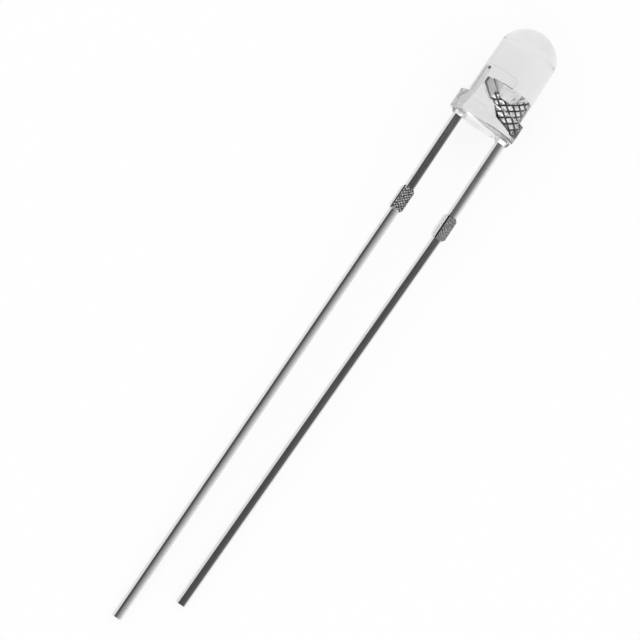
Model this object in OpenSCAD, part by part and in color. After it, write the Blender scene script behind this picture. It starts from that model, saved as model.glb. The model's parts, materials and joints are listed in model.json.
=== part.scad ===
// Through-hole LED, 3 mm clear lens on two stamped leads, lying at rest.
// Each piece is drawn upright in the lamp's own frame and then laid down by lying().
// Upright frame: Z up the lens axis from the flange's underside, X towards the cathode,
// and the side that faces up when the lamp lies is -Y.
// The part's own frame: +X towards the dome, +Z up, origin at the centre of the flange's underside.

/* [Lens] */
// Radius of the barrel where it leaves the flange
barrel_r = 1.53; // [1.5:0.01:1.6]
// Height of the barrel's straight land above the flange
barrel_land = 1.5; // [1.4:0.05:1.7]
// Radius of the barrel under the dome
barrel_top_r = 1.5; // [1.4:0.01:1.53]
// Height of the tapered stretch between the land and the dome
barrel_taper = 1.69; // [1.2:0.01:2]
// Radius of the dome
dome_r = 1.55; // [1.53:0.01:1.8]
// Radius of the round that blends the barrel into the dome
shoulder_r = 0.6; // [0.3:0.05:0.9]

/* [Flange] */
// Radius of the flange
flange_r = 1.86; // [1.8:0.02:2.3]
// Height of the flange
flange_h = 1; // [0.95:0.05:1.3]
// Radius of the flange's lower edge, where the cast resin met the air
flange_low_r = 0.1; // [0.03:0.01:0.15]
// Radius of the flange's upper edge
flange_top_r = 0.05; // [0.02:0.01:0.1]
// Distance from the lens axis to the flat that marks the cathode
flat_d = 1.64; // [1.6:0.01:1.75]
// Radius of the resin collar that creeps down each lead, at the underside
collar_r = 0.45; // [0.4:0.01:0.48]
// Height of that resin collar
collar_h = 0.22; // [0.05:0.01:0.3]
// Thickness of the collar's lip over the lead's corners
collar_lip = 0.02; // [0.01:0.005:0.05]

/* [Leads] */
// Distance between the two leads' centre lines
pitch = 2.54; // [2.5:0.01:2.6]
// Width of a lead, across the pair
lead_w = 0.5; // [0.4:0.02:0.52]
// Thickness of the lead frame's sheet
lead_t = 0.5; // [0.4:0.02:0.52]
// Radius of the leads' rounded edges
lead_edge_r = 0.1; // [0.03:0.01:0.12]
// Length of the anode's lead below the flange
anode_len = 29.7; // [20:0.1:34]
// Length of the cathode's lead below the flange
cathode_len = 27.5; // [18:0.1:32]
// Lean of the anode's lead below its stop, away from the cathode, in degrees
anode_lean = 0.45; // [-2:0.05:2]
// Lean of the cathode's lead below its stop, towards the anode, in degrees
cathode_lean = 1.3; // [-2:0.05:2]

/* [Stand-off stops] */
// Distance from the flange's underside to the top of the stops
stop_drop = 4.5; // [2:0.05:8]
// Length of a stop along its lead
stop_len = 1.3; // [0.8:0.05:2]
// How far a stop stands out of its lead on each side
stop_proud = 0.105; // [0.05:0.005:0.2]
// Length of the slope at each end of a stop
stop_slope = 0.14; // [0.02:0.01:0.2]

/* [Cathode anvil] */
// Height of the anvil's top edge above the underside
anvil_top = 2.15; // [2.1:0.01:2.2]
// Distance from the lens axis to the tip of the anvil's left wing
wing_reach = 0.8; // [0.6:0.01:0.85]
// Height of the wing's outer edge
wing_h = 0.3; // [0.2:0.01:0.4]
// Distance from the lens axis to the left end of the band under the cup
band_reach = 0.26; // [0.2:0.01:0.35]
// Height of that band's underside
band_low = 1.28; // [1.2:0.01:1.35]
// Distance from the lens axis to the point where the underside turns down, on the left
brow_reach = 0.16; // [0:0.01:0.18]
// Distance from the lens axis to the belly of the underside, on the right
belly_reach = 0.22; // [0.15:0.01:0.3]
// Height of the belly
belly_z = 0.68; // [0.6:0.01:0.75]
// Distance from the lens axis to the heel, where the underside turns down to the shank
heel_reach = 0.9; // [0.8:0.01:0.98]
// Height of the heel
heel_z = 0.42; // [0.35:0.01:0.5]
// Height at which the shank's inner edge leaves the underside
anvil_root = 0.24; // [0.15:0.01:0.3]
// Height at which the shank's outer edge turns in towards the anvil
shank_top = 0.68; // [0.6:0.01:0.8]
// Distance from the lens axis to the anvil's hip, on the right
hip_reach = 1.2; // [1.15:0.01:1.3]
// Height of the hip
anvil_hip = 1.35; // [1.2:0.01:1.5]
// Distance from the lens axis to the anvil's right edge at the top
anvil_reach = 1.1; // [1.05:0.01:1.2]

/* [Reflector cup] */
// Offset of the cup's axis from the lens axis, towards the cathode
cup_x = 0.19; // [0.1:0.01:0.2]
// Height of the cup's rim above the underside
cup_rim_z = 2.21; // [2.18:0.01:2.35]
// Height of the cup's flat foot, which stands out of the sheet's faces
cup_foot_z = 1.57; // [1.5:0.01:1.65]
// Outside radius at the rim
cup_rim_r = 0.84; // [0.8:0.01:0.9]
// Outside radius at the foot
cup_foot_r = 0.33; // [0.27:0.01:0.4]
// Thickness of the cup's wall at the rim
cup_wall = 0.1; // [0.06:0.01:0.15]
// Radius of the cup's flat floor
cup_floor_r = 0.26; // [0.24:0.01:0.3]
// Depth of the cup's floor under its rim
cup_depth = 0.42; // [0.35:0.01:0.45]

/* [Knurl] */
// Distance between neighbouring grooves on the anvil
knurl_pitch = 0.26; // [0.2:0.01:0.35]
// Width of a groove at the surface
groove_w = 0.09; // [0.05:0.01:0.14]
// Distance between neighbouring grooves on the stops
stop_knurl_pitch = 0.12; // [0.1:0.01:0.25]
// Width of a groove on the stops
stop_groove_w = 0.05; // [0.03:0.01:0.08]
// Distance from the lens axis to the knurl's left edge
knurl_left = 0.3; // [0.2:0.01:0.35]
// Distance from the lens axis to the knurl's right edge
knurl_right = 1.25; // [1.1:0.01:1.3]
// Height of the knurl's lower edge
knurl_low = 0.36; // [0.3:0.01:0.5]

/* [Anode post] */
// Distance from the lens axis to the post's centre line
post_x = 1.1; // [1:0.01:1.15]
// Width of the post
post_w = 0.28; // [0.2:0.01:0.3]
// Height of the post above the underside
post_top = 2.62; // [2.5:0.01:2.9]
// Height at which the lead starts to step in towards the post
step_z = 0.5; // [0.4:0.01:0.6]
// Height of that step
step_h = 0.4; // [0.3:0.01:0.45]

/* [Die and bond] */
// Side of the square die
die_side = 0.28; // [0.2:0.01:0.32]
// Height of the die
die_h = 0.12; // [0.08:0.01:0.16]
// Side of the die's bond pad
pad_side = 0.11; // [0.08:0.01:0.14]
// Height of the bond pad above the die
pad_h = 0.01; // [0.005:0.001:0.02]
// Thickness of the silver-filled glue under the die
attach_h = 0.02; // [0.01:0.005:0.04]
// Height to which the glue climbs the die's sides
attach_climb = 0.04; // [0.02:0.005:0.06]
// Width of the bare ring of the cup's floor round the glue
attach_rim = 0.02; // [0.01:0.005:0.04]
// Radius of the bond wire
wire_r = 0.0125; // [0.0125:0.0005:0.02]
// Radius of the ball that holds the wire on the die
ball_r = 0.04; // [0.03:0.005:0.05]
// Height of the ball
ball_h = 0.03; // [0.02:0.005:0.04]
// Length of the wire's straight end above the post
wire_end = 0.04; // [0.02:0.01:0.1]
// Radius of the wire's two bends
wire_bend = 0.12; // [0.06:0.01:0.2]
// Radius of the pressed foot that holds the wire on the post
foot_r = 0.035; // [0.03:0.005:0.05]
// Height of that foot
foot_h = 0.012; // [0.01:0.001:0.02]

/* [Hidden] */
$fn = 64;

// How far a tool reaches past the face that it cuts
over = 0.01;
anode_x = -pitch / 2;
cathode_x = pitch / 2;
bend_z = -(stop_drop + stop_len);
dome_start_z = flange_h + barrel_land + barrel_taper;
// Height of the shoulder round's centre above the dome's centre
shoulder_up = sqrt(pow(dome_r - shoulder_r, 2) - pow(barrel_top_r - shoulder_r, 2));
dome_centre_z = dome_start_z - shoulder_up;
// Where the shoulder round touches the dome
touch_r = (barrel_top_r - shoulder_r) * dome_r / (dome_r - shoulder_r);
touch_up = shoulder_up * dome_r / (dome_r - shoulder_r);
cup_floor_z = cup_rim_z - cup_depth;
die_z = cup_floor_z + attach_h;
pad_z = die_z + die_h;
ball_z = pad_z + pad_h;

// Distance from a lead's centre line to the outside of its rounded corners
corner_r = norm([lead_w / 2 - lead_edge_r, lead_t / 2 - lead_edge_r]) + lead_edge_r;

// Where each lead ends, sideways and along the lens axis
anode_low = anode_len + bend_z;
cathode_low = cathode_len + bend_z;
anode_tip_x = anode_x - anode_low * sin(anode_lean);
cathode_tip_x = cathode_x - cathode_low * sin(cathode_lean);
anode_tip_z = bend_z - anode_low * cos(anode_lean);
cathode_tip_z = bend_z - cathode_low * cos(cathode_lean);

// The lamp rests on the flange's rim and both lead tips. The shorter cathode turns it by
// roll about the lens axis, and the flange's radius lifts the head by tilt.
// half_low is how far a turned lead reaches under its centre line.
function slope_for(half_low) = (flange_r - half_low)
    / (-anode_tip_z + anode_tip_x * (cathode_tip_z - anode_tip_z) / (cathode_tip_x - anode_tip_x));
function roll_for(half_low) =
    asin(slope_for(half_low) * (cathode_tip_z - anode_tip_z) / (cathode_tip_x - anode_tip_x));
flat_roll = roll_for(lead_t / 2);
half_low = lead_t / 2 * cos(flat_roll) + lead_w / 2 * sin(flat_roll);
tilt = atan(slope_for(half_low));
roll = roll_for(half_low);

// Lays an upright piece down, head raised, leads side by side
module lying() {
    rotate([0, -tilt, 0])
        rotate([roll - 90, 0, 0])
            rotate([0, 90, 0])
                children();
}

// A bar's cross-section with round edges, centred
module bar_section(w, t) {
    r = lead_edge_r;
    square([w - 2 * r, t], center = true);
    square([w, t - 2 * r], center = true);
    for (sx = [-1, 1])
        for (sy = [-1, 1])
            translate([sx * (w / 2 - r), sy * (t / 2 - r)])
                circle(r = r);
}

// A plate of the sheet's thickness, from points given as [across, up]
module sheet(points) {
    rotate([90, 0, 0])
        linear_extrude(height = lead_t, center = true)
            polygon(points);
}

// One sharp groove along the sheet's front and back faces, through the origin, at an angle
module groove_pair(angle, length, w) {
    for (side = [-1, 1])
        translate([0, side * lead_t / 2, 0])
            rotate([0, angle, 0])
                rotate([45, 0, 0])
                    cube([length, w / sqrt(2), w / sqrt(2)], center = true);
}

// Diamond knurl over a rectangle of the sheet's faces: its centre and size as [across, up]
module knurl(centre, size, pitch, w) {
    reach = (size[0] + size[1]) / 2 / sqrt(2);
    count = floor(reach / pitch);
    intersection() {
        translate([centre[0], 0, centre[1]])
            cube([size[0], lead_t + 2 * w, size[1]], center = true);
        translate([centre[0], 0, centre[1]])
            for (angle = [-45, 45])
                for (i = [-count:count])
                    translate([i * pitch * sin(angle), 0, i * pitch * cos(angle)])
                        groove_pair(angle, 2 * reach + w, w);
    }
}

// Outline of a stop, with a short slope at each end
module stop_plate() {
    half = lead_w / 2;
    wide = half + stop_proud;
    top = -stop_drop;
    low = bend_z;
    sheet([
        [-half, top], [-wide, top - stop_slope], [-wide, low + stop_slope], [-half, low],
        [half, low], [wide, low + stop_slope], [wide, top - stop_slope], [half, top]
    ]);
}

// A lead from a height down through its stop to its leaning lower stretch
module lead(from_z, low_len, lean) {
    difference() {
        union() {
            translate([0, 0, bend_z])
                linear_extrude(height = from_z - bend_z)
                    bar_section(lead_w, lead_t);
            stop_plate();
        }
        knurl([0, bend_z + stop_len / 2], [lead_w + 2 * stop_proud, stop_len],
              stop_knurl_pitch, stop_groove_w);
    }
    translate([0, 0, bend_z])
        rotate([0, lean, 0])
            translate([0, 0, -low_len])
                linear_extrude(height = low_len + lead_edge_r)
                    bar_section(lead_w, lead_t);
}

// The cup's solid outside, a cone through the sheet
module cup_outside() {
    translate([cup_x, 0, cup_foot_z])
        cylinder(r1 = cup_foot_r, r2 = cup_rim_r, h = cup_rim_z - cup_foot_z);
}

module cup_hollow() {
    translate([cup_x, 0, cup_floor_z])
        cylinder(r1 = cup_floor_r, r2 = cup_rim_r - cup_wall, h = cup_depth);
    translate([cup_x, 0, cup_rim_z])
        cylinder(r = cup_rim_r - cup_wall, h = over);
}

// Outline of the anvil that carries the cup, from its wing round to the cathode's shank
module anvil_plate() {
    inner = cathode_x - lead_w / 2;
    outer = cathode_x + lead_w / 2;
    sheet([
        [-wing_reach, anvil_top], [-wing_reach, anvil_top - wing_h], [-band_reach, band_low],
        [-brow_reach, band_low], [belly_reach, belly_z], [heel_reach, heel_z],
        [inner, anvil_root], [outer, anvil_root], [outer, shank_top],
        [hip_reach, anvil_hip], [anvil_reach, anvil_top]
    ]);
}

module cathode_frame() {
    color("silver") lying() {
        difference() {
            union() {
                difference() {
                    anvil_plate();
                    knurl([(knurl_right - knurl_left) / 2, (anvil_top + knurl_low) / 2],
                          [knurl_right + knurl_left, anvil_top - knurl_low],
                          knurl_pitch, groove_w);
                }
                cup_outside();
            }
            cup_hollow();
        }
        translate([cathode_x, 0, 0])
            lead(anvil_root + lead_edge_r, cathode_low, cathode_lean);
    }
}

module anode_frame() {
    color("silver") lying() {
        translate([anode_x, 0, 0])
            lead(step_z, anode_low, anode_lean);
        sheet([
            [anode_x - lead_w / 2, step_z - over], [anode_x - lead_w / 2, step_z],
            [-post_x - post_w / 2, step_z + step_h], [-post_x - post_w / 2, post_top],
            [-post_x + post_w / 2, post_top], [-post_x + post_w / 2, step_z + step_h],
            [anode_x + lead_w / 2, step_z], [anode_x + lead_w / 2, step_z - over]
        ]);
    }
}

module die_attach() {
    color("gray") lying()
        translate([cup_x, 0, cup_floor_z])
            difference() {
                cylinder(r = cup_floor_r - attach_rim, h = attach_climb);
                translate([0, 0, attach_h + die_h / 2])
                    cube([die_side, die_side, die_h], center = true);
            }
}

module led_die() {
    color("goldenrod") lying()
        translate([cup_x, 0, 0]) {
            translate([0, 0, die_z + die_h / 2])
                cube([die_side, die_side, die_h], center = true);
            translate([0, 0, pad_z + pad_h / 2])
                cube([pad_side, pad_side, pad_h], center = true);
        }
}

// A quarter bend of the wire, from upright on the right to level on the left, round the origin
module wire_quarter() {
    rotate([90, 0, 0])
        rotate_extrude(angle = 90)
            translate([wire_bend, 0])
                circle(r = wire_r);
}

// Ball on the pad, riser, flat loop with two bends, short straight end and pressed foot
module bond_wire() {
    bend_at = post_top + wire_end;
    color("gold") lying() {
        translate([cup_x, 0, ball_z])
            cylinder(r = ball_r, h = ball_h);
        translate([cup_x, 0, ball_z + ball_h / 2])
            cylinder(r = wire_r, h = bend_at - ball_z - ball_h / 2);
        translate([cup_x - wire_bend, 0, bend_at])
            wire_quarter();
        translate([-post_x + wire_bend, 0, bend_at + wire_bend])
            rotate([0, 90, 0])
                cylinder(r = wire_r, h = cup_x + post_x - 2 * wire_bend);
        translate([-post_x + wire_bend, 0, bend_at])
            mirror([1, 0, 0])
                wire_quarter();
        translate([-post_x, 0, post_top])
            cylinder(r = wire_r, h = wire_end);
        translate([-post_x, 0, post_top])
            cylinder(r = foot_r, h = foot_h);
    }
}

// Half outline of the dome and its shoulder round, turned about the axis
module dome() {
    translate([0, 0, dome_centre_z])
        rotate_extrude() {
            intersection() {
                circle(r = dome_r);
                translate([0, touch_up])
                    square([touch_r, dome_r]);
            }
            polygon([[0, shoulder_up], [0, touch_up], [touch_r, touch_up],
                     [barrel_top_r - shoulder_r, shoulder_up]]);
            intersection() {
                translate([barrel_top_r - shoulder_r, shoulder_up])
                    circle(r = shoulder_r);
                translate([0, shoulder_up])
                    square([barrel_top_r, dome_r]);
            }
        }
}

// The flange's round disc, with both edges rounded
module flange_disc() {
    rotate_extrude() {
        translate([0, flange_low_r])
            square([flange_r, flange_h - flange_low_r - flange_top_r]);
        square([flange_r - flange_low_r, flange_low_r]);
        translate([flange_r - flange_low_r, flange_low_r])
            circle(r = flange_low_r);
        translate([0, flange_h - flange_top_r])
            square([flange_r - flange_top_r, flange_top_r]);
        translate([flange_r - flange_top_r, flange_h - flange_top_r])
            circle(r = flange_top_r);
    }
}

module lens_outside() {
    difference() {
        union() {
            flange_disc();
            for (x = [anode_x, cathode_x])
                translate([x, 0, -collar_h])
                    cylinder(r1 = corner_r + collar_lip, r2 = collar_r, h = collar_h);
        }
        translate([flat_d, -flange_r, -collar_h - over])
            cube([flange_r, 2 * flange_r, collar_h + flange_h + 2 * over]);
    }
    translate([0, 0, flange_h])
        cylinder(r = barrel_r, h = barrel_land);
    translate([0, 0, flange_h + barrel_land])
        cylinder(r1 = barrel_r, r2 = barrel_top_r, h = barrel_taper);
    dome();
}

module lens_body() {
    color("white", 0.4)
        difference() {
            lying() lens_outside();
            cathode_frame();
            anode_frame();
            die_attach();
            led_die();
            bond_wire();
        }
}

lens_body();
cathode_frame();
anode_frame();
led_die();
die_attach();
bond_wire();
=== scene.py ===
"""Looks of a clear 3 mm through-hole LED that lies on a pale floor.

The scene is in metres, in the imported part's frame: +X towards the dome, +Z up, and the origin at
the centre of the flange's underside. The sizes below are in millimetres, in the upright lamp's own
frame: across it towards the cathode, back, and up from the flange's underside.

The stamped frames, the die, its glue and the bond wire are the CAD's own solids with better
materials. The lens is replaced by its outer skin alone, so that light meets the resin's surface
once and then the metal, as in cast resin.
"""

import json
from math import atan2, cos, pi, prod, radians, sin, sqrt
from types import SimpleNamespace

import bmesh
import bpy
from mathutils import Matrix, Vector


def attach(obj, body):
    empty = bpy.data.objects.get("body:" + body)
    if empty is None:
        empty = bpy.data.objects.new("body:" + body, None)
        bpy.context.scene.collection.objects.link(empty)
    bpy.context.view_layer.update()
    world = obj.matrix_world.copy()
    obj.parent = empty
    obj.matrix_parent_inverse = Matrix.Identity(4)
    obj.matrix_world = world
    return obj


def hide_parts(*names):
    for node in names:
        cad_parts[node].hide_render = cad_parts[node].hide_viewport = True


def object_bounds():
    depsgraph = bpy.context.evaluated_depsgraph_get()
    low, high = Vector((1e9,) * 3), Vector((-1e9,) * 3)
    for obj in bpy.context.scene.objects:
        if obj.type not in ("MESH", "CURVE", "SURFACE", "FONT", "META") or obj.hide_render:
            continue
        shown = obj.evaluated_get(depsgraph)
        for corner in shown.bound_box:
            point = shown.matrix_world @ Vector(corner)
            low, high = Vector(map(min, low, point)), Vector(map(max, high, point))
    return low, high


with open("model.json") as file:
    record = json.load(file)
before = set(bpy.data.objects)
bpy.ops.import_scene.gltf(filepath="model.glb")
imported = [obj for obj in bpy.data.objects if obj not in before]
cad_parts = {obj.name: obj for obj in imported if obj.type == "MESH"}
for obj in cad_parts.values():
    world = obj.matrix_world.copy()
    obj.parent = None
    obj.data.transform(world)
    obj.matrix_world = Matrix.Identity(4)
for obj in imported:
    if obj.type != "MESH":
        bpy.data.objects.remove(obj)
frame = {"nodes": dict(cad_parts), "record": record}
cad_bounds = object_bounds()

MM = 0.001

# The lamp, as in the part's source
FLANGE_R = 1.86
FLANGE_H = 1.0
FLANGE_LOW_R = 0.1
FLANGE_TOP_R = 0.05
FLAT_D = 1.64
BARREL_R = 1.53
BARREL_LAND = 1.5
BARREL_TOP_R = 1.5
BARREL_TAPER = 1.69
DOME_R = 1.55
SHOULDER_R = 0.6
PITCH = 2.54
COLLAR_R = 0.45
COLLAR_H = 0.22
COLLAR_TIP_R = 0.332
STOP_TOP = -4.5
BEND_Z = -5.8
ANODE_LEAN = radians(0.45)
CATHODE_LEAN = radians(1.3)
ANVIL_TOP = 2.15
CUP_RIM = 2.21
POST_X = -1.1
KNURL_PITCH = 0.26
KNURL_LEFT = -0.3
KNURL_RIGHT = 1.25
KNURL_LOW = 0.36
KNURL_X = (KNURL_LEFT + KNURL_RIGHT) / 2
KNURL_Z = (KNURL_LOW + ANVIL_TOP) / 2

# Corners of the anvil's face, across and up: the wing, the underside, and where the cup leaves it
WING_TOP = (-0.8, ANVIL_TOP)
WING_FOOT = (-0.8, 1.85)
BAND = (-0.26, 1.28)
BROW = (-0.16, 1.28)
BELLY = (0.22, 0.68)
HEEL = (0.9, 0.42)
CUP_TOP_LEFT = (-0.56, ANVIL_TOP)
CUP_FOOT_LEFT = (-0.03, 1.57)
CUP_FOOT_RIGHT = (0.41, 1.57)
CUP_TOP_RIGHT = (0.94, ANVIL_TOP)

# How the lamp lies
mounts = {mount["name"]: mount for mount in frame["record"]["mounts"]}
lens_axis = -Vector(mounts["board_face"]["axis"])
anode_side = Vector(mounts["anode_lead"]["pos_m"]).normalized()
face_up = lens_axis.cross(anode_side).normalized()
floor_z = cad_bounds[0][2]


def lamp_matrix():
    """From the upright lamp, Z up its axis and X towards the cathode, to the lying one."""
    towards_cathode = -anode_side
    axes = Matrix((towards_cathode, lens_axis.cross(towards_cathode), lens_axis)).transposed()
    return axes.to_4x4()


def new_object(name, mesh):
    piece = bpy.data.objects.new(name, mesh)
    bpy.context.scene.collection.objects.link(piece)
    return piece


# Camera

# The photograph's side in pixels, its pixel and its scale at the middle of the flange's underside,
# and the angle of the lens axis in it
PICTURE = 640
HEAD_PIXEL = (481.1, 126.0)
HEAD_PIXELS_PER_METRE = 20350
HEAD_ANGLE = radians(56.2)
# How far the camera stands from straight before the lamp's front, and its distance in metres
SEEN_FROM_BELOW = radians(8)
SEEN_FROM_ANODE = radians(8)
CAMERA_DISTANCE = 0.12
# The camera's own values: its sensor in millimetres, its nearest and farthest reach in metres
SENSOR_WIDTH = 36
CLIP_START = 0.001
CLIP_END = 10
AIM_STEPS = 4


def aim_camera(camera):
    """Places the camera so that the flange falls on its pixel and the lens axis has its angle."""
    half = PICTURE / 2
    focal = HEAD_PIXELS_PER_METRE * CAMERA_DISTANCE
    to_camera = (face_up * cos(SEEN_FROM_BELOW) * cos(SEEN_FROM_ANODE)
                 + anode_side * cos(SEEN_FROM_BELOW) * sin(SEEN_FROM_ANODE)
                 - lens_axis * sin(SEEN_FROM_BELOW)).normalized()
    ray = Vector((HEAD_PIXEL[0] - half, half - HEAD_PIXEL[1], -focal)).normalized()
    turn = ray.rotation_difference(-to_camera).to_matrix()
    place = to_camera * CAMERA_DISTANCE
    probe = lens_axis * MM
    for _ in range(AIM_STEPS):
        seen = turn.inverted() @ (probe - place)
        base = turn.inverted() @ -place
        angle = atan2(seen.y / -seen.z - base.y / -base.z, seen.x / -seen.z - base.x / -base.z)
        turn = Matrix.Rotation(angle - HEAD_ANGLE, 3, to_camera) @ turn
    camera.matrix_world = Matrix.Translation(place) @ turn.to_4x4()
    camera.data.sensor_width = SENSOR_WIDTH
    camera.data.lens = SENSOR_WIDTH * focal / PICTURE
    camera.data.clip_start = CLIP_START
    camera.data.clip_end = CLIP_END


camera = new_object("camera", bpy.data.cameras.new("camera"))
bpy.context.scene.camera = camera
aim_camera(camera)


# Node trees

def operator(operation, swapped=False):
    """A method that makes a Math node of a field and another value."""
    def method(self, other=0.0):
        return self.nodes.maths(operation, *((other, self) if swapped else (self, other)))
    return method


class Field:
    """A value that varies over a surface: a node's output, for plain sums and comparisons."""

    def __init__(self, nodes, socket):
        self.nodes = nodes
        self.socket = socket

    __add__ = __radd__ = operator("ADD")
    __mul__ = __rmul__ = operator("MULTIPLY")
    __sub__ = operator("SUBTRACT")
    __rsub__ = operator("SUBTRACT", swapped=True)
    __truediv__ = operator("DIVIDE")
    __gt__ = operator("GREATER_THAN")
    __lt__ = operator("LESS_THAN")
    __abs__ = operator("ABSOLUTE")
    at_least = operator("MAXIMUM")
    at_most = operator("MINIMUM")
    sine = operator("SINE")
    root = operator("SQRT")


class Nodes:
    """A node tree with short calls for what this script uses."""

    def __init__(self, tree):
        self.tree = tree

    def feed(self, node, *numbered, **named):
        """Links or sets inputs, the first ones in their order or by name with _ for a space."""
        named = {name.replace("_", " "): value for name, value in named.items()}
        for socket, value in [*enumerate(numbered), *named.items()]:
            value = value.socket if isinstance(value, Field) else value
            if isinstance(value, bpy.types.NodeSocket):
                self.tree.links.new(value, node.inputs[socket])
            else:
                node.inputs[socket].default_value = value

    def add(self, kind, settings=None, *numbered, **named):
        """A new node with its settings and inputs."""
        node = self.tree.nodes.new(kind)
        for key, value in (settings or {}).items():
            setattr(node, key, value)
        self.feed(node, *numbered, **named)
        return node

    def maths(self, operation, *values):
        node = self.add("ShaderNodeMath", {"operation": operation}, *values)
        return Field(self, node.outputs["Value"])

    def along(self, coordinates, axis):
        """A coordinate's share along an axis, times the axis's length."""
        source = self.add("ShaderNodeTexCoord")
        node = self.add("ShaderNodeVectorMath", {"operation": "DOT_PRODUCT"},
                        source.outputs[coordinates], axis)
        return Field(self, node.outputs["Value"])

    def noise(self, per_mm, detail, roughness=0.5):
        """Smooth noise about the value 0.5, with its repeats per millimetre along each axis."""
        source = self.add("ShaderNodeTexCoord")
        mapping = self.add("ShaderNodeMapping", Vector=source.outputs["Object"],
                           Scale=tuple(repeats / MM for repeats in per_mm))
        node = self.add("ShaderNodeTexNoise", Vector=mapping.outputs["Vector"], Scale=1.0,
                        Detail=detail, Roughness=roughness)
        return Field(self, node.outputs["Fac"])

    def ramp(self, value, stops):
        """Levels or colours that follow a value, between stops of (value, level)."""
        node = self.add("ShaderNodeValToRGB", Fac=value)
        first, last = node.color_ramp.elements[0], node.color_ramp.elements[1]
        first.position, first.color = stops[0][0], grey(stops[0][1])
        last.position, last.color = stops[-1][0], grey(stops[-1][1])
        for position, level in stops[1:-1]:
            node.color_ramp.elements.new(position).color = grey(level)
        return Field(self, node.outputs["Color"])

    def fade(self, value, start, end, low=0.0, high=1.0):
        """Low up to the start, high from the end on, and a straight change between."""
        node = self.add("ShaderNodeMapRange", Value=value, From_Min=start, From_Max=end,
                        To_Min=low, To_Max=high)
        return Field(self, node.outputs["Result"])

    def tint(self, colour, by):
        """One colour multiplied by another."""
        node = self.add("ShaderNodeMix", {"data_type": "RGBA", "blend_type": "MULTIPLY"},
                        Factor=1.0, A=colour, B=by)
        return Field(self, node.outputs["Result"])

    def open_share(self, reach):
        """1 on an open face, and less in a groove or corner within so many millimetres."""
        node = self.add("ShaderNodeAmbientOcclusion", {"samples": 16, "only_local": True},
                        Distance=reach * MM)
        return Field(self, node.outputs["AO"])

    def bump(self, height, unit, strength=1.0):
        """The normal of a face with a height, which is given in units of so many metres."""
        node = self.add("ShaderNodeBump", Height=height, Distance=unit, Strength=strength)
        return node.outputs["Normal"]


def grey(level):
    """Blender's colour for a grey level or for a red, green and blue."""
    if isinstance(level, (int, float)):
        return (level, level, level, 1.0)
    return (*level, 1.0)


def between(share, a, b):
    """The first value at a share of 0, the second at 1."""
    return a * (1.0 - share) + b * share


def off_line(across, up, start, end):
    """Distance from a straight line between two points of the lamp's middle plane."""
    dx, dz = end[0] - start[0], end[1] - start[1]
    px, pz = across - start[0], up - start[1]
    run = ((px * dx + pz * dz) * (1 / (dx * dx + dz * dz))).at_least(0.0).at_most(1.0)
    off_x, off_z = px - run * dx, pz - run * dz
    return (off_x * off_x + off_z * off_z).root()


def new_material(name):
    """A new material, its node tree and its shader."""
    material = bpy.data.materials.new(name)
    material.use_nodes = True
    n = Nodes(material.node_tree)
    return material, n, n.tree.nodes["Principled BSDF"]


# Tinned steel

# Repeats per millimetre along each axis: rolling lines along the lamp, dark specks, the stops'
# grain and the mottling of the coined anvil
ROLLING_LINES = (0.25, 14, 14)
SPECKS = (9, 9, 9)
GRAIN = (11, 11, 11)
SPOTS = (4, 4, 4)
# Distance from the sheet's middle plane within which all of it lies, and within which a point
# counts as being on its stamped sides
SHEET_FACE = 0.252
SHEET_SIDE = 0.2
# Middle of the gap between the post and the wing
GAP_X = -0.88

# A lead's face above and below its stop: its roll in radians, its turn per mm across it, and a
# second turn per mm, which starts at a place right of its middle
ANODE_FACE = ((-0.01, 0.1, -5.0, 0.12), (0.12, 1.0, 0.0, 0.12))
CATHODE_FACE = ((0.07, 0.33, 1.2, 0.04), (0.02, 0.25, -2.0, 0.12))
# Where each stop's rolled-over left end starts, the widths of its light strip and of its dark strip,
# which is a painted dark reflection, and the light strip's slope
STRIPS_FROM = -0.345
ANODE_STRIPS = (0.07, 0.05)
CATHODE_STRIPS = (0.16, 0.08)
STRIP_SLOPE = 0.6
# Height of the grain on the anode's stop and on the cathode's smoother one, of the domed lands
# and of the rolling lines
STOP_GRAIN = 0.024
SMOOTH_GRAIN = STOP_GRAIN / 3
LAND_DOME = 0.012
LINE_HEIGHT = 0.0006
# Slopes: up the coined anvil, across the post, and what the leads' stretch in the collars adds
ANVIL_SLOPE = 0.12
POST_ROLL = 0.25
COLLAR_SLOPE = 0.25

# Places of the post's end, which is painted dark, of the cup's rim line, a painted dark reflection,
# and of the shank's painted dark reflection
POST_END_FROM = 2.47
POST_END_HALF = 0.075
RIM_LINE_X = -0.1
RIM_LINE_HALF = 0.22
RIM_LINE_H = 0.03
SHANK_LEFT = 1.0
SHANK_LOW = 0.33
SHANK_TOP = 0.75
# Edges of the anvil's face with the reach of their dark lines, which are painted dark reflections, and
# how far back the lines go
EDGE_BACK = -0.05
ANVIL_EDGES = (
    (WING_TOP, WING_FOOT, 0.03), (WING_FOOT, BAND, 0.03), (CUP_TOP_LEFT, CUP_FOOT_LEFT, 0.04),
    (CUP_FOOT_LEFT, CUP_FOOT_RIGHT, 0.05), (CUP_FOOT_RIGHT, CUP_TOP_RIGHT, 0.05),
    (BAND, BROW, 0.04), (BROW, BELLY, 0.05), (BELLY, HEEL, 0.12),
)

# Reach within which a face gets painted shade in a groove, and how much more open the smooth stop
# counts, so less shaded
GROOVE_REACH = 0.06
SMOOTH_OPEN = 0.12
# How unevenly the painted shade reaches into the lands' edges
LAND_EDGE_UNEVENNESS = 0.3
# What the shank's painted dark reflection has beside the rolling lines' share
SHANK_EVEN = 0.2

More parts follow.
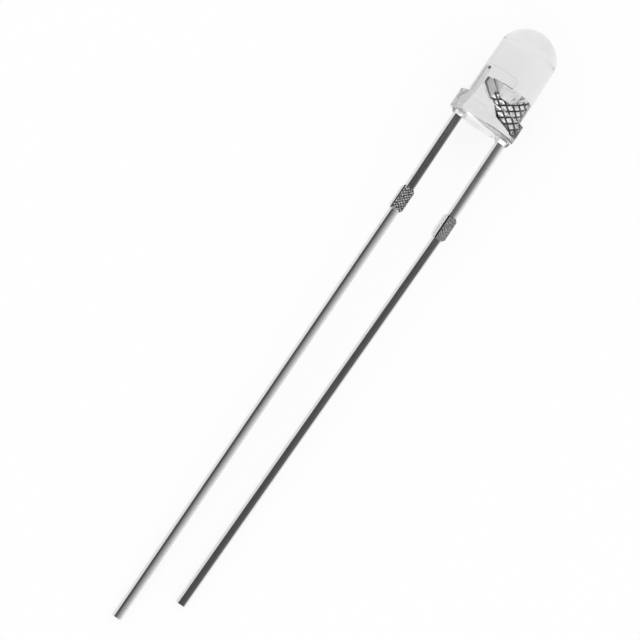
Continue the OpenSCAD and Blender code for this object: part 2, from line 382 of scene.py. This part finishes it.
# Grey levels, as stops of (value, level)
LINE_TONES = ((0.3, 0.92), (0.7, 0.98))
SPECK_TONES = ((0.28, 0.7), (0.36, 1.0))
LEAD_TONES = ((0.0, 1.0), (1.0, 0.8))
# Painted shade in the grooves and corners
GROOVE_SHADE_TONES = ((0.66, 0.12), (0.93, 1.0))
# Painted shade at the knurl lands' edges beside the grooves
LAND_EDGE_SHADE_TONES = ((0.05, 0.45), (0.22, 1.0))
# Painted dark: the stops' dark reflection strips, the post's end and the cup's rim line
PAINTED_DARK_TONES = ((0.0, 1.0), (1.0, 0.08))
# Painted dark reflection on the shank
SHANK_REFLECTION_TONES = ((0.0, 1.0), (0.6, 0.25))
WING_TONES = ((0.0, 1.0), (0.25, 0.7), (0.7, 0.5))
SPOT_TONES = ((0.46, 1.0), (0.62, 0.55))
# Painted dark reflections along the anvil face's edges
EDGE_REFLECTION_TONES = ((0.4, 0.1), (1.0, 1.0))
# Roughness that follows the rolling lines, and what some places add to it
LINE_ROUGHNESS = ((0.3, 0.08), (0.7, 0.14))
FLAT_ROUGHER = 0.24
STOP_ROUGHER = 0.1
CONE_ROUGHER = 0.08


def lead_face(across, up):
    """Place across a lead, and the height of its front face, crowned and rolled by the press."""
    cathode = across > 0.0
    low = up < STOP_TOP
    below = (BEND_Z - up).at_least(0.0)
    centre = between(cathode, -PITCH / 2, PITCH / 2)
    off = across - centre + below * between(cathode, ANODE_LEAN, CATHODE_LEAN)
    roll, crown, turn, start = (
        between(cathode, between(low, *anode_values), between(low, *cathode_values))
        for anode_values, cathode_values in zip(zip(*ANODE_FACE), zip(*CATHODE_FACE)))
    past = (off - start).at_least(0.0)
    return off, (crown * off * off * 0.5 + turn * past * past * 0.5 + roll * off) * -1.0


def land_domes(across, up):
    """0 in the middle of the knurl's grooves, 1 in the middle of its lands."""
    waves = []
    for sign in (-1, 1):
        diagonal = up - KNURL_Z + (across - KNURL_X) * sign
        waves.append((diagonal * (pi / (KNURL_PITCH * sqrt(2)))).sine())
    return prod(wave * wave for wave in waves)


def stop_strips(cathode, off):
    """Where a stop's left end is rolled over: the light strip, then the dark one beside it, a painted
    dark reflection.
    """
    light, dark = (between(cathode, *widths) for widths in zip(ANODE_STRIPS, CATHODE_STRIPS))
    place = off - STRIPS_FROM
    in_light = place < light
    return in_light, (place < light + dark) - in_light


def frame_places(n):
    """Where a point of the stamped frames lies: its coordinates, and shares that are 1 at a place."""
    at = SimpleNamespace()
    at.across, at.back, at.up = (n.along("Object", axis / MM) for axis in lamp_matrix().to_3x3().col)
    at.off, at.lead_height = lead_face(at.across, at.up)
    at.outside = at.up < -COLLAR_H
    at.stop = (at.up < STOP_TOP) * (at.up > BEND_Z)
    at.smooth_stop = at.stop * (at.across > 0.0)
    strips = stop_strips(at.across > 0.0, at.off)
    at.light_strip, at.dark_strip = (at.stop * strip for strip in strips)
    inside = 1.0 - at.outside
    at.sheet = inside * (abs(at.back) < SHEET_FACE)
    at.cone = inside - at.sheet
    at.front = at.sheet * (at.back < -SHEET_SIDE)
    at.side = at.sheet * (abs(at.back) < SHEET_SIDE)
    at.post = at.sheet * (at.across < GAP_X) * (at.up > 0.0)
    at.wing = at.front * (at.across < KNURL_LEFT) * (at.across > GAP_X)
    at.knurl = at.front * (at.across > KNURL_LEFT) * (at.up > KNURL_LOW)
    at.domes = land_domes(at.across, at.up)
    return at


def anvil_edge(at, start, end, reach):
    """Distance from an edge of the anvil's face as a share of its reach, and 1 off that face."""
    gap = off_line(at.across, at.up, start, end) / reach
    return gap.at_least(1.0 - at.sheet * (at.back < EDGE_BACK))


def tin_colour(n, at, lines):
    """Bright metal, darkened by what follows each value in its own tones: by specks and mottling, and
    by painted shade and painted dark reflections.
    """
    specks = n.noise(SPECKS, detail=2)
    spots = n.noise(SPOTS, detail=3)
    # Painted shade from the open share in grooves and corners, lifted on the stops' light strips, the
    # sheet's sides and the smooth stop
    shade_lifted = at.light_strip + (at.side + at.smooth_stop * SMOOTH_OPEN)
    # Painted shade at the knurl lands' edges next to the grooves, made uneven by the spots
    land_edge_shade = at.domes + (spots - 0.5) * LAND_EDGE_UNEVENNESS
    # The post's end is painted dark
    on_post_end = (at.up > POST_END_FROM) * (abs(at.across - POST_X) < POST_END_HALF)
    # The cup's rim line is a painted dark reflection
    on_rim_reflection = (at.up > CUP_RIM - RIM_LINE_H) * (abs(at.across - RIM_LINE_X) < RIM_LINE_HALF)
    # Where the shank's painted dark reflection lies
    shank = at.front * (at.across > SHANK_LEFT) * (at.up < SHANK_TOP) * (at.up > SHANK_LOW)
    tones = [
        (specks, SPECK_TONES),
        (at.outside, LEAD_TONES),
        # painted shade in grooves and corners
        (n.open_share(GROOVE_REACH) + shade_lifted, GROOVE_SHADE_TONES),
        # painted shade at the lands' edges
        (land_edge_shade.at_least(1.0 - at.knurl), LAND_EDGE_SHADE_TONES),
        # painted dark reflection of the stop's rolled-over edge
        (at.dark_strip * (at.back < -SHEET_SIDE), PAINTED_DARK_TONES),
        # the post's end, painted dark
        (at.post * on_post_end * at.front, PAINTED_DARK_TONES),
        # painted dark reflection on the cup's rim
        (at.cone * on_rim_reflection, PAINTED_DARK_TONES),
        # painted dark reflection on the shank
        (shank * (lines + SHANK_EVEN), SHANK_REFLECTION_TONES),
        (at.wing * spots, WING_TONES),
        (at.knurl * spots, SPOT_TONES),
    ]
    # Painted dark reflections along the anvil face's edges
    tones += [(anvil_edge(at, *edge), EDGE_REFLECTION_TONES) for edge in ANVIL_EDGES]
    colour = n.ramp(lines, LINE_TONES)
    for value, stops in tones:
        colour = n.tint(colour, n.ramp(value, stops))
    return colour


def tin_height(n, at, lines):
    """Height in mm: the leads' crowned faces, the rough stops, and the coined anvil's lands."""
    rolled_over = at.light_strip * (at.off - STRIPS_FROM) * STRIP_SLOPE
    grain = between(at.smooth_stop, STOP_GRAIN, SMOOTH_GRAIN)
    rough = n.noise(GRAIN, detail=2) * (at.stop - at.light_strip) * grain
    lead = between(at.stop, at.lead_height, rolled_over + rough)
    slope = at.up * ANVIL_SLOPE + at.post * at.across * POST_ROLL
    slope = slope + at.up.at_most(0.0) * COLLAR_SLOPE
    anvil = at.domes * at.knurl * LAND_DOME - slope
    return between(at.outside, anvil, lead) + lines * LINE_HEIGHT


def tinned_material():
    """Bright tin over rolled steel: faint rolling lines, grooves darkened by painted shade, painted
    dark reflections, and grainy stops.
    """
    material, n, shader = new_material("tinned_frame")
    at = frame_places(n)
    lines = n.noise(ROLLING_LINES, detail=4, roughness=0.6)
    rougher = (at.post.at_least(at.wing) * FLAT_ROUGHER + at.smooth_stop * STOP_ROUGHER
               + at.cone * CONE_ROUGHER)
    n.feed(shader, Base_Color=tin_colour(n, at, lines), Metallic=1.0,
           Roughness=n.ramp(lines, LINE_ROUGHNESS) + rougher,
           Normal=n.bump(tin_height(n, at, lines), MM))
    return material


# Other materials

# Repeats per millimetre along each axis
RESIN_WAVES = (0.5, 0.9, 0.9)
CRYSTAL_GRAIN = (20, 20, 20)
GLUE_FLAKES = (40, 40, 40)
DRAWN_MARKS = (60, 60, 60)
# Height in millimetres of the resin's waves and of the glue's flakes
WAVE_HEIGHT = 0.004
FLAKE_HEIGHT = 0.004


def epoxy_material():
    """Clear cast resin with the faintest waviness."""
    material, n, shader = new_material("clear_epoxy")
    waves = n.noise(RESIN_WAVES, detail=2)
    n.feed(shader, Base_Color=n.ramp(waves, ((0.3, 0.81), (0.7, 0.85))), Transmission_Weight=1.0,
           IOR=1.53, Roughness=0.02, Normal=n.bump(waves, WAVE_HEIGHT * MM, strength=0.5))
    return material


def die_material():
    """Dark, polished crystal."""
    material, n, shader = new_material("semiconductor")
    grain = n.noise(CRYSTAL_GRAIN, detail=3)
    n.feed(shader, Base_Color=n.ramp(grain, ((0.3, (0.16, 0.14, 0.1)), (0.7, (0.3, 0.27, 0.2)))),
           Roughness=0.15)
    return material


def glue_material():
    """Matt paste with silver flakes."""
    material, n, shader = new_material("silver_glue")
    flakes = n.noise(GLUE_FLAKES, detail=3)
    n.feed(shader, Base_Color=n.ramp(flakes, ((0.35, 0.35), (0.65, 0.75))), Metallic=0.6,
           Roughness=0.5, Normal=n.bump(flakes, FLAKE_HEIGHT * MM))
    return material


def gold_material():
    """Bright gold, marked by its drawing."""
    material, n, shader = new_material("gold_wire")
    drawn = n.noise(DRAWN_MARKS, detail=2)
    n.feed(shader, Base_Color=n.ramp(drawn, ((0.3, (0.94, 0.86, 0.68)), (0.7, (0.98, 0.91, 0.76)))),
           Metallic=1.0, Roughness=0.15)
    return material


def dress(node, material):
    """Gives a CAD node its material."""
    piece = frame["nodes"][node]
    if not piece.material_slots:
        piece.data.materials.append(material)
    for slot in piece.material_slots:
        slot.material = material


tinned = tinned_material()
dress("cathode_frame", tinned)
dress("anode_frame", tinned)
dress("led_die", die_material())
dress("die_attach", glue_material())
dress("bond_wire", gold_material())


# Lens skin

AROUND = 192
COLLAR_AROUND = 48
DOME_STEPS = 32
ROUND_STEPS = 10
SHARP = radians(20)
# Width of the narrow rings that keep the barrel's shading flat beside its bends
KEEP = 0.03


def arc(centre_r, centre_z, radius, start, end, steps):
    """Points on a round of the profile, its first point left to the caller."""
    turns = [start + (end - start) * (i + 1) / steps for i in range(steps)]
    return [(centre_r + radius * cos(a), centre_z + radius * sin(a)) for a in turns]


def lens_profile():
    """Radius and height of the skin, from the flange's underside up, and the dome's tip."""
    dome_start = FLANGE_H + BARREL_LAND + BARREL_TAPER
    rise = sqrt((DOME_R - SHOULDER_R) ** 2 - (BARREL_TOP_R - SHOULDER_R) ** 2)
    touch = atan2(rise, BARREL_TOP_R - SHOULDER_R)
    low_r = FLANGE_R - FLANGE_LOW_R
    top_r = FLANGE_R - FLANGE_TOP_R
    points = [(low_r, 0)]
    points += arc(low_r, FLANGE_LOW_R, FLANGE_LOW_R, -pi / 2, 0, ROUND_STEPS)
    points += [(FLANGE_R, FLANGE_H - FLANGE_TOP_R)]
    points += arc(top_r, FLANGE_H - FLANGE_TOP_R, FLANGE_TOP_R, 0, pi / 2, ROUND_STEPS)
    points += [(BARREL_R, FLANGE_H)]
    taper = (BARREL_R - BARREL_TOP_R) / BARREL_TAPER
    for below_dome in (BARREL_TAPER + KEEP, BARREL_TAPER, BARREL_TAPER - KEEP, KEEP, 0):
        points += [(min(BARREL_R, BARREL_TOP_R + taper * below_dome), dome_start - below_dome)]
    points += arc(BARREL_TOP_R - SHOULDER_R, dome_start, SHOULDER_R, 0, touch, ROUND_STEPS)
    points += arc(0, dome_start - rise, DOME_R, touch, pi / 2, DOME_STEPS)[:-1]
    return points, dome_start - rise + DOME_R


def revolved(name, points, around, tip=None):
    """A closed form turned about Z from its profile, with a flat end or a pointed one on top."""
    mesh = bmesh.new()
    angles = [2 * pi * (i + 0.5) / around for i in range(around)]
    rings = [[mesh.verts.new((r * cos(a), r * sin(a), z)) for a in angles] for r, z in points]
    mesh.faces.new(list(reversed(rings[0])))
    for low, high in zip(rings, rings[1:]):
        for i in range(around):
            j = (i + 1) % around
            mesh.faces.new((low[i], low[j], high[j], high[i]))
    if tip is None:
        mesh.faces.new(rings[-1])
    else:
        point = mesh.verts.new((0, 0, tip))
        for i in range(around):
            mesh.faces.new((rings[-1][i], rings[-1][(i + 1) % around], point))
    data = bpy.data.meshes.new(name)
    mesh.to_mesh(data)
    mesh.free()
    return new_object(name, data)


def join_solids(base, others):
    """Unites the others with the base and removes them."""
    for other in others:
        union = base.modifiers.new(other.name, "BOOLEAN")
        union.operation = "UNION"
        union.solver = "EXACT"
        union.object = other
    depsgraph = bpy.context.evaluated_depsgraph_get()
    joined = bpy.data.meshes.new_from_object(base.evaluated_get(depsgraph))
    base.modifiers.clear()
    base.data = joined
    for other in others:
        bpy.data.objects.remove(other)


def cut_flat(data):
    """Cuts the cathode's flat off the flange and closes the cut."""
    mesh = bmesh.new()
    mesh.from_mesh(data)
    everything = mesh.verts[:] + mesh.edges[:] + mesh.faces[:]
    cut = bmesh.ops.bisect_plane(mesh, geom=everything, plane_co=(FLAT_D, 0, 0),
                                 plane_no=(1, 0, 0), clear_outer=True)
    edges = [part for part in cut["geom_cut"] if isinstance(part, bmesh.types.BMEdge)]
    bmesh.ops.contextual_create(mesh, geom=edges)
    bmesh.ops.recalc_face_normals(mesh, faces=mesh.faces[:])
    mesh.to_mesh(data)
    mesh.free()


def build_lens_skin():
    """Replaces the lens, which has the frames' hollows in it, by its outer skin."""
    points, tip_z = lens_profile()
    skin = revolved("lens_skin", points, AROUND, tip_z)
    collars = []
    for side in (-1, 1):
        cone = [(COLLAR_TIP_R, -COLLAR_H), (COLLAR_R, 0), (COLLAR_R - COLLAR_H, COLLAR_H)]
        collar = revolved("collar", cone, COLLAR_AROUND)
        collar.location = (side * PITCH / 2, 0, 0)
        collars.append(collar)
    join_solids(skin, collars)
    cut_flat(skin.data)
    skin.data.transform(lamp_matrix() @ Matrix.Scale(MM, 4))
    skin.data.shade_smooth()
    skin.data.set_sharp_from_angle(angle=SHARP)
    skin.data.materials.clear()
    skin.data.materials.append(epoxy_material())
    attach(skin, "root")
    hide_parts("lens_body")


build_lens_skin()


# Floor

# Side of the floor in metres, its colour, and how bright its own white is
FLOOR_SIZE = 2.0
FLOOR_LEVEL = 0.8
FLOOR_GLOW = 1.06
# How much of the floor that is seen is its own white, and not the light that falls on it
FLOOR_OWN = 0.8


def floor_material():
    """Matt white that looks evenly pale to the camera and in the metal, and takes a faint shadow."""
    material, n, shader = new_material("floor")
    n.feed(shader, Base_Color=grey(FLOOR_LEVEL), Roughness=1.0, Specular_IOR_Level=0.0)
    ray = n.add("ShaderNodeLightPath").outputs
    seen = n.maths("MAXIMUM", ray["Is Camera Ray"], ray["Is Glossy Ray"])
    seen = seen.at_least(ray["Is Transmission Ray"])
    white = n.add("ShaderNodeEmission", Color=grey(1.0), Strength=FLOOR_GLOW)
    surface = n.add("ShaderNodeMixShader", None, seen * FLOOR_OWN, shader.outputs[0], white.outputs[0])
    n.feed(n.tree.nodes["Material Output"], Surface=surface.outputs[0])
    return material


def build_floor():
    mesh = bmesh.new()
    bmesh.ops.create_grid(mesh, x_segments=1, y_segments=1, size=FLOOR_SIZE / 2)
    data = bpy.data.meshes.new("floor")
    mesh.to_mesh(data)
    mesh.free()
    data.materials.append(floor_material())
    floor = new_object("floor", data)
    floor.location = (0, 0, floor_z)


build_floor()


# Light: a white tent with a long dark opening overhead, which the leads' flat faces mirror

# Edges of the opening, as shares of a direction across and along the lamp: it fades in from the
# first to the second and out from the third to the fourth
OPENING_ACROSS = (-0.24, -0.05, 0.2, 0.85)
OPENING_ALONG = (-0.4, -0.3, 0.17, 0.22)
OPENING_LEVEL = 0.085
# A soft panel next to the opening towards the dome, and what it adds to light the coined lands
PANEL_ACROSS = (-0.3, -0.15, 0.4, 0.55)
PANEL_ALONG = (0.38, 0.43, 0.58, 0.66)
PANEL_LEVEL = 0.8
# Both keep to the side that the lamp's front faces, where they fade in
FRONT_FADE = (0.5, 0.6)
# Level at the horizon, and the share of straight up from which the tent has its full level
HORIZON_LEVEL = 0.82
FULL_FROM = 0.5


def build_world():
    world = bpy.data.worlds.new("tent")
    world.use_nodes = True
    bpy.context.scene.world = world
    n = Nodes(world.node_tree)

    def window(across, along):
        """1 inside an oblong of the tent, 0 outside."""
        share = n.fade(n.along("Generated", face_up), *FRONT_FADE)
        for axis, edges in ((-anode_side, across), (lens_axis, along)):
            value = n.along("Generated", axis)
            share = share * n.fade(value, edges[0], edges[1]) * n.fade(value, edges[3], edges[2])
        return share

    white = n.fade(n.along("Generated", (0, 0, 1)), 0.0, FULL_FROM, low=HORIZON_LEVEL)
    level = n.fade(window(OPENING_ACROSS, OPENING_ALONG), 0.0, 1.0, low=white, high=OPENING_LEVEL)
    level = window(PANEL_ACROSS, PANEL_ALONG) * PANEL_LEVEL + level
    n.feed(n.tree.nodes["Background"], Color=grey(1.0), Strength=level)


build_world()

scene = bpy.context.scene
scene.view_settings.view_transform = "Standard"
# Light crosses the thick resin and its metal many times before it leaves
scene.cycles.max_bounces = 32
scene.cycles.glossy_bounces = 24
scene.cycles.transmission_bounces = 24
